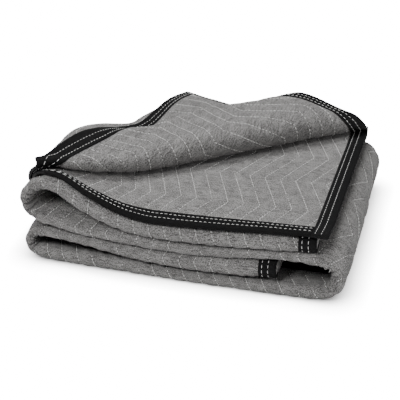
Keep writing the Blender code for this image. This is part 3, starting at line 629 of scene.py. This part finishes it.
def fibre_group():
    """Short matted fibres, light and dark: a colour and a height."""
    group, start, end = new_group("matted_fibres", (
        ("Coordinates", "INPUT", "NodeSocketVector", None),
        ("Dark", "INPUT", "NodeSocketColor", (0.1, 0.1, 0.1, 1.0)),
        ("Light", "INPUT", "NodeSocketColor", (0.3, 0.3, 0.3, 1.0)),
        ("Fibre Scale", "INPUT", "NodeSocketFloat", 700.0),
        ("Color", "OUTPUT", "NodeSocketColor", None),
        ("Height", "OUTPUT", "NodeSocketFloat", None)))
    nodes, links = group.nodes, group.links
    fine = nodes.new("ShaderNodeTexNoise")
    fine.inputs["Detail"].default_value = 3.0
    fine.inputs["Roughness"].default_value = 0.6
    links.new(start.outputs["Coordinates"], fine.inputs["Vector"])
    links.new(start.outputs["Fibre Scale"], fine.inputs["Scale"])
    streaks = nodes.new("ShaderNodeTexNoise")
    streaks.inputs["Scale"].default_value = 170.0
    streaks.inputs["Detail"].default_value = 3.0
    streaks.inputs["Distortion"].default_value = 1.5
    stretch = nodes.new("ShaderNodeMapping")
    stretch.inputs["Scale"].default_value = (0.45, 1.6, 1.0)
    links.new(start.outputs["Coordinates"], stretch.inputs["Vector"])
    links.new(stretch.outputs["Vector"], streaks.inputs["Vector"])
    mottle = nodes.new("ShaderNodeTexNoise")
    mottle.inputs["Scale"].default_value = 48.0
    mottle.inputs["Detail"].default_value = 3.0
    links.new(start.outputs["Coordinates"], mottle.inputs["Vector"])
    both = nodes.new("ShaderNodeMath")
    both.operation = "MULTIPLY_ADD"
    both.inputs[1].default_value = 0.40
    links.new(streaks.outputs["Fac"], both.inputs[0])
    links.new(fine.outputs["Fac"], both.inputs[2])
    more = nodes.new("ShaderNodeMath")
    more.operation = "MULTIPLY_ADD"
    more.inputs[1].default_value = 0.16
    links.new(mottle.outputs["Fac"], more.inputs[0])
    links.new(both.outputs[0], more.inputs[2])
    spread = nodes.new("ShaderNodeMapRange")
    spread.inputs["From Min"].default_value = 0.67
    spread.inputs["From Max"].default_value = 0.90
    links.new(more.outputs[0], spread.inputs["Value"])
    blend = nodes.new("ShaderNodeMix")
    blend.data_type = "RGBA"
    links.new(spread.outputs["Result"], blend.inputs["Factor"])
    links.new(start.outputs["Dark"], blend.inputs["A"])
    links.new(start.outputs["Light"], blend.inputs["B"])
    links.new(blend.outputs["Result"], end.inputs["Color"])
    links.new(more.outputs[0], end.inputs["Height"])
    return group


fibres = fibre_group()


def fibre_material(name, dark, light, scale, bump, roughness):
    """A matt material of matted fibres that follow the flat cloth."""
    material = bpy.data.materials.new(name)
    material.use_nodes = True
    nodes, links = material.node_tree.nodes, material.node_tree.links
    shader = nodes["Principled BSDF"]
    shader.inputs["Roughness"].default_value = roughness
    shader.inputs["Specular IOR Level"].default_value = 0.2
    shader.inputs["Sheen Weight"].default_value = 0.1
    shader.inputs["Sheen Roughness"].default_value = 0.6
    where = nodes.new("ShaderNodeUVMap")
    where.uv_map = "flat_cloth"
    placed = nodes.new("ShaderNodeGroup")
    placed.node_tree = fibres
    placed.inputs["Dark"].default_value = dark
    placed.inputs["Light"].default_value = light
    placed.inputs["Fibre Scale"].default_value = scale
    rough = nodes.new("ShaderNodeBump")
    rough.inputs["Distance"].default_value = bump
    links.new(where.outputs["UV"], placed.inputs["Coordinates"])
    links.new(placed.outputs["Color"], shader.inputs["Base Color"])
    links.new(placed.outputs["Height"], rough.inputs["Height"])
    links.new(rough.outputs["Normal"], shader.inputs["Normal"])
    return material


grey_felt = fibre_material("grey_felt", dark=(0.058, 0.056, 0.055, 1.0), light=(0.300, 0.294, 0.288, 1.0),
                           scale=640.0, bump=0.0007, roughness=0.95)
mesh.materials.append(grey_felt)
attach(pad_cloth, "root")
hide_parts("quilted_cloth")


# The binding
# Black woven tape, folded over the edge of the cloth and sewn down through both sides. It is
# sewn on in four lengths: one to each long edge, and one across each end that covers their ends.
TAPE = 0.0010                # thickness
TAPE_GAP = 0.0002            # between it and the cloth
TAPE_PAST = 0.0016           # of an end's tape past the cloth's corner, where it is sewn shut
STITCH_LINES = (0.0055, 0.0150)      # from the tape's inner border
TAPE_STEP = 0.0045
INSETS = (0.0260, 0.0250, 0.0225, 0.0205, 0.0185, 0.0160, 0.0135, 0.0110, 0.0088, 0.0060, 0.0030, 0.0010)


def tape_place(edge, along_tape, inset):
    """Flat places at distances along a tape and inside its edge."""
    along_tape, inset = np.broadcast_arrays(along_tape, inset)
    if edge == "upper":
        return along_tape, inset
    if edge == "lower":
        return along_tape, WIDTH - inset
    first, last = end_places(along_tape)
    if edge == "top":
        return first + inset, along_tape
    return last - inset, along_tape


def tape_height(along_tape, inset):
    """The tape's outer face over its inner one: it swells between its rows of stitches."""
    from_border = TAPE_WIDTH - inset
    swell = sum(-0.00045 * np.exp(-((from_border - row) / 0.0016) ** 2) for row in STITCH_LINES)
    swell = swell + 0.00025 * np.exp(-((from_border - sum(STITCH_LINES) / 2) / 0.003) ** 2)
    swell = swell + 0.0005 * np.exp(-(inset / 0.006) ** 2)
    wobble = 0.00022 * lumps(along_tape, inset, 0.011, 0.009, 21)
    return TAPE + swell + wobble * ease(from_border / 0.004)


def make_tape(name, edge, start, end):
    """One length of tape, from start to end along its edge."""
    places = np.linspace(start, end, round((end - start) / TAPE_STEP))
    if edge in ("top", "inner"):
        before, behind = [start - TAPE_PAST, start - TAPE_GAP], [end + TAPE_GAP, end + TAPE_PAST]
        places = np.concatenate([before, places, behind])
    insets = np.array(INSETS)
    u, v = tape_place(edge, places[:, None], insets[None, :])
    middle, normal = cloth(u, v), outward(u, v)
    on_cloth = (places > -2 * TAPE_GAP) & (places < WIDTH + 2 * TAPE_GAP) | (edge in ("upper", "lower"))
    inner_at = np.where(on_cloth, CLOTH_AT_TAPE / 2 + TAPE_GAP, 0.00005)[:, None]
    outer_at = CLOTH_AT_TAPE / 2 + TAPE_GAP + tape_height(places[:, None], insets[None, :])
    eu, ev = tape_place(edge, places, 0.0)
    rim_middle, rim_normal = cloth(eu, ev), outward(eu, ev)
    out = rim_middle - middle[:, -3]
    out /= np.linalg.norm(out, axis=-1, keepdims=True)
    ring = [middle[:, k] + normal[:, k] * outer_at[:, k, None] for k in range(len(insets))]
    reach, half = TAPE_GAP + TAPE + 0.0003, CLOTH_AT_TAPE / 2 + TAPE_GAP + TAPE + 0.0002
    for angle in (60, 25, -25, -60):
        turn = math.radians(angle)
        ring.append(rim_middle + out * reach * math.cos(turn) + rim_normal * half * math.sin(turn))
    ring += [middle[:, k] - normal[:, k] * outer_at[:, k, None] for k in reversed(range(len(insets)))]
    ring += [middle[:, k] - normal[:, k] * inner_at for k in range(0, len(insets), 2)]
    ring += [rim_middle + out * TAPE_GAP + rim_normal * inner_at * way for way in (-1, 1)]
    ring += [middle[:, k] + normal[:, k] * inner_at for k in reversed(range(0, len(insets), 2))]
    sides = len(ring)
    points = np.stack(ring, axis=1).reshape(-1, 3)
    round_tape = np.linspace(0.0, 0.06, sides)
    round_flat = np.stack(np.broadcast_arrays(places[:, None], round_tape[None, :]), axis=-1)
    quads = []
    for j in range(sides):
        a = np.arange(len(places) - 1) * sides + j
        b = np.arange(len(places) - 1) * sides + (j + 1) % sides
        quads.append(np.stack([a, a + sides, b + sides, b], axis=1))
    mesh = bpy.data.meshes.new(name)
    caps = [list(range(sides))[::-1], list(range(len(points) - sides, len(points)))]
    quads = np.concatenate(quads)
    if edge in ("lower", "top"):
        quads, caps = quads[:, ::-1], [c[::-1] for c in caps]
    mesh.from_pydata(points.tolist(), [], quads.tolist() + caps)
    mesh.shade_smooth()
    add_flat_map(mesh, round_flat.reshape(-1, 2))
    piece = bpy.data.objects.new(name, mesh)
    bpy.context.collection.objects.link(piece)
    return piece


def tape_material():
    """Black tape with fine ribs across it and dusty grey high spots."""
    material = bpy.data.materials.new("black_tape")
    material.use_nodes = True
    nodes, links = material.node_tree.nodes, material.node_tree.links
    shader = nodes["Principled BSDF"]
    shader.inputs["Roughness"].default_value = 0.6
    shader.inputs["Specular IOR Level"].default_value = 0.10
    where = nodes.new("ShaderNodeUVMap")
    where.uv_map = "flat_cloth"
    ribs = nodes.new("ShaderNodeTexWave")
    ribs.bands_direction = "X"
    ribs.inputs["Scale"].default_value = 190.0
    ribs.inputs["Distortion"].default_value = 1.2
    ribs.inputs["Detail Scale"].default_value = 3.0
    links.new(where.outputs["UV"], ribs.inputs["Vector"])
    specks = nodes.new("ShaderNodeTexNoise")
    specks.inputs["Scale"].default_value = 900.0
    specks.inputs["Detail"].default_value = 3.0
    links.new(where.outputs["UV"], specks.inputs["Vector"])
    both = nodes.new("ShaderNodeMath")
    both.operation = "MULTIPLY_ADD"
    both.inputs[1].default_value = 0.6
    links.new(specks.outputs["Fac"], both.inputs[0])
    links.new(ribs.outputs["Fac"], both.inputs[2])
    colours = nodes.new("ShaderNodeValToRGB")
    colours.color_ramp.elements[0].position = 0.35
    colours.color_ramp.elements[0].color = (0.0015, 0.0015, 0.0016, 1.0)
    colours.color_ramp.elements[1].position = 1.25 / 1.6
    colours.color_ramp.elements[1].color = (0.008, 0.008, 0.0084, 1.0)
    links.new(both.outputs[0], colours.inputs["Fac"])
    links.new(colours.outputs["Color"], shader.inputs["Base Color"])
    rough = nodes.new("ShaderNodeBump")
    rough.inputs["Distance"].default_value = 0.0005
    links.new(both.outputs[0], rough.inputs["Height"])
    links.new(rough.outputs["Normal"], shader.inputs["Normal"])
    return material


black_tape = tape_material()
SIDE_START = end_places(0.0)[0] + TAPE_WIDTH + TAPE_GAP
SIDE_END = end_places(0.0)[1] - TAPE_WIDTH - TAPE_GAP
LOWER_END = end_places(WIDTH)[1] - TAPE_WIDTH - TAPE_GAP
for edge, start, end, node in (("upper", SIDE_START, SIDE_END, "binding_upper_edge"),
                               ("lower", SIDE_START, LOWER_END, "binding_lower_edge"),
                               ("top", 0.0, WIDTH, "binding_top_end"),
                               ("inner", 0.0, WIDTH, "binding_inner_end")):
    piece = make_tape("tape_" + node.removeprefix("binding_"), edge, start, end)
    piece.data.materials.append(black_tape)
    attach(piece, "root")
    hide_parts(node)


# The stitches
# Pale spun thread: long stitches in the quilting's rows on both faces of the cloth, and two rows
# of them through each tape. Every stitch dips into the cloth at both ends.
def make_stitches(name, starts, tops, ends, normals, radius):
    """Joined stitches, each a short thread with four sides through three points."""
    along_thread = ends - starts
    along_thread /= np.linalg.norm(along_thread, axis=-1, keepdims=True)
    side = np.cross(normals, along_thread)
    side /= np.linalg.norm(side, axis=-1, keepdims=True)
    rings = []
    for centre, size in ((starts, 0.45), (tops, 1.0), (ends, 0.45)):
        for across_share, up_share in ((1, 0), (0, 1), (-1, 0), (0, -1)):
            rings.append(centre + (side * across_share + normals * up_share) * radius * size)
    points = np.stack(rings, axis=1).reshape(-1, 3)
    points[:, 2] = np.maximum(points[:, 2], 0.0)
    block = []
    for ring in (0, 4):
        block += [(ring + k, ring + (k + 1) % 4, ring + 4 + (k + 1) % 4, ring + 4 + k) for k in range(4)]
    block += [(3, 2, 1, 0), (8, 9, 10, 11)]
    quads = np.array(block)[None] + (np.arange(len(starts)) * 12)[:, None, None]
    mesh = bpy.data.meshes.new(name)
    mesh.from_pydata(points.tolist(), [], quads.reshape(-1, 4).tolist())
    mesh.shade_smooth()
    piece = bpy.data.objects.new(name, mesh)
    bpy.context.collection.objects.link(piece)
    return piece


def thread_material():
    material = bpy.data.materials.new("pale_thread")
    material.use_nodes = True
    nodes, links = material.node_tree.nodes, material.node_tree.links
    shader = nodes["Principled BSDF"]
    shader.inputs["Roughness"].default_value = 0.7
    where = nodes.new("ShaderNodeTexCoord")
    wear = nodes.new("ShaderNodeTexNoise")
    wear.inputs["Scale"].default_value = 160.0
    links.new(where.outputs["Object"], wear.inputs["Vector"])
    colours = nodes.new("ShaderNodeValToRGB")
    colours.color_ramp.elements[0].position = 0.35
    colours.color_ramp.elements[0].color = (0.60, 0.60, 0.59, 1.0)
    colours.color_ramp.elements[1].position = 0.65
    colours.color_ramp.elements[1].color = (0.88, 0.88, 0.86, 1.0)
    links.new(wear.outputs["Fac"], colours.inputs["Fac"])
    links.new(colours.outputs["Color"], shader.inputs["Base Color"])
    return material


pale_thread = thread_material()
STITCH_PITCH = 0.0064
TAPE_STITCH_PITCH = STITCH_PITCH * 1.14
STITCH_LENGTH = 0.0048
STITCH_RISE = 0.9            # of its middle, in radii
STITCH_DIP = 0.0001          # of a quilting stitch's ends into the cloth
THREAD = 0.00058             # radius

# Where the quilting's stitches are made: side of the cloth, then from and to along and across it
STITCHED = tuple((1,) + zone[:4] for zone in OUTER_ZONES[:9] + OUTER_ZONES[10:])
STITCHED += tuple((-1,) + zone[:4] for zone in INNER_ZONES)


def quilting_stitches():
    """The stitches of the quilting's rows, each made once where its zones overlap."""
    across_step = STITCH_PITCH * QUILT_HALF_WAVE / math.hypot(QUILT_HALF_WAVE, 2 * QUILT_SWING)
    rows = np.arange(-3, int(LENGTH / QUILT_PITCH) + 5) * QUILT_PITCH
    places = np.arange(across_step / 2, WIDTH, across_step)
    grid = np.stack(np.meshgrid(rows, places), axis=-1).reshape(-1, 2)
    grid[:, 0] += quilt_row_at(grid[:, 1])
    grid = grid[edge_distance(grid[:, 0], grid[:, 1]) > TAPE_WIDTH + 0.002]
    parts = []
    for number, zone in enumerate(STITCHED):
        found = grid[inside_zone(grid, zone[1:], 0.0)]
        for earlier in STITCHED[:number]:
            if earlier[0] == zone[0]:
                found = found[~inside_zone(found, earlier[1:], 0.0)]
        half = STITCH_LENGTH / 2 * across_step / STITCH_PITCH
        three = []
        for shift, height in ((-half, -STITCH_DIP), (0.0, THREAD * STITCH_RISE), (half, -STITCH_DIP)):
            across = found[:, 1] + shift
            along = found[:, 0] - quilt_row_at(found[:, 1]) + quilt_row_at(across)
            point, normal = cloth_face(along, across, zone[0])
            three.append(point + normal * height)
        parts.append(three + [normal])
    return [np.concatenate(group) for group in zip(*parts)]


def tape_stitches(edge, start, end):
    """The two rows of stitches through one length of tape, on both of its faces."""
    places = np.arange(start + 0.004, end - 0.003, TAPE_STITCH_PITCH)
    half = STITCH_LENGTH / 2
    parts = []
    for side in (1, -1):
        for row in STITCH_LINES:
            inset = TAPE_WIDTH - row
            three = []
            for shift, height in ((-half, 0.0), (0.0, THREAD * STITCH_RISE), (half, 0.0)):
                along, across = tape_place(edge, places + shift, inset)
                normal = side * outward(along, across)
                out = CLOTH_AT_TAPE / 2 + TAPE_GAP + tape_height(places + shift, np.full_like(places, inset))
                three.append(cloth(along, across) + normal * (out + height)[:, None])
            parts.append(three + [normal])
    return [np.concatenate(group) for group in zip(*parts)]


quilting = make_stitches("quilting_thread", *quilting_stitches(), THREAD)
sewn = [tape_stitches(*row) for row in (("upper", SIDE_START, SIDE_END), ("lower", SIDE_START, LOWER_END),
                                        ("top", 0.0, WIDTH), ("inner", 0.0, WIDTH))]
sewing = make_stitches("binding_thread", *[np.concatenate(group) for group in zip(*sewn)], THREAD)
for piece, slot in ((quilting, "quilted_cloth"), (sewing, "binding")):
    piece.data.materials.append(pale_thread)
    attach(piece, "root")


# The stage
# A white floor that glows for the camera, with a painted contact shadow: its glow is dimmed by ambient
# occlusion close to the pile. Then three soft lamps: one above, one in front on the left and a weak one on
# the right.
bpy.ops.mesh.primitive_plane_add(size=24.0, location=(0.0, 0.0, -0.0005))
floor = bpy.context.object
floor.name = "floor"
pale = bpy.data.materials.new("pale_floor")
pale.use_nodes = True
shader = pale.node_tree.nodes["Principled BSDF"]
shader.inputs["Base Color"].default_value = (0.90, 0.90, 0.90, 1.0)
shader.inputs["Roughness"].default_value = 0.95
shader.inputs["Specular IOR Level"].default_value = 0.0
shader.inputs["Emission Color"].default_value = (1.0, 1.0, 1.0, 1.0)
# Painted shadow: the glow seen by the camera is scaled by ambient occlusion cubed, so the floor darkens near
# the pile
seen = pale.node_tree.nodes.new("ShaderNodeLightPath")
shade = pale.node_tree.nodes.new("ShaderNodeAmbientOcclusion")
shade.inputs["Distance"].default_value = 0.045
deeper = pale.node_tree.nodes.new("ShaderNodeMath")
deeper.operation = "POWER"
deeper.inputs[1].default_value = 3.0
painted_shadow_glow = pale.node_tree.nodes.new("ShaderNodeMath")
painted_shadow_glow.operation = "MULTIPLY"
brighter = pale.node_tree.nodes.new("ShaderNodeMath")
brighter.operation = "MULTIPLY"
brighter.inputs[1].default_value = 16.0
pale.node_tree.links.new(shade.outputs["AO"], deeper.inputs[0])
pale.node_tree.links.new(seen.outputs["Is Camera Ray"], painted_shadow_glow.inputs[0])
pale.node_tree.links.new(deeper.outputs[0], painted_shadow_glow.inputs[1])
pale.node_tree.links.new(painted_shadow_glow.outputs[0], brighter.inputs[0])
pale.node_tree.links.new(brighter.outputs[0], shader.inputs["Emission Strength"])
floor.data.materials.append(pale)

world = bpy.data.worlds.new("soft_world")
world.use_nodes = True
world.node_tree.nodes["Background"].inputs["Color"].default_value = (1.0, 1.0, 1.0, 1.0)
world.node_tree.nodes["Background"].inputs["Strength"].default_value = 0.07
bpy.context.scene.world = world

# Columns: name, place, size and power
for name, place, size, power in (("overhead", (-0.10, 0.35, 2.2), 0.9, 44.0),
                                 ("front", (-0.80, -1.80, 1.85), 0.8, 46.0),
                                 ("side", (2.1, -1.3, 1.2), 1.0, 19.0)):
    lamp = bpy.data.lights.new(name, "AREA")
    lamp.size = size
    lamp.energy = power
    lit = bpy.data.objects.new(name, lamp)
    lit.location = place
    lit.rotation_euler = (Vector((0.0, 0.0, 0.08)) - Vector(place)).to_track_quat("-Z", "Y").to_euler()
    bpy.context.collection.objects.link(lit)
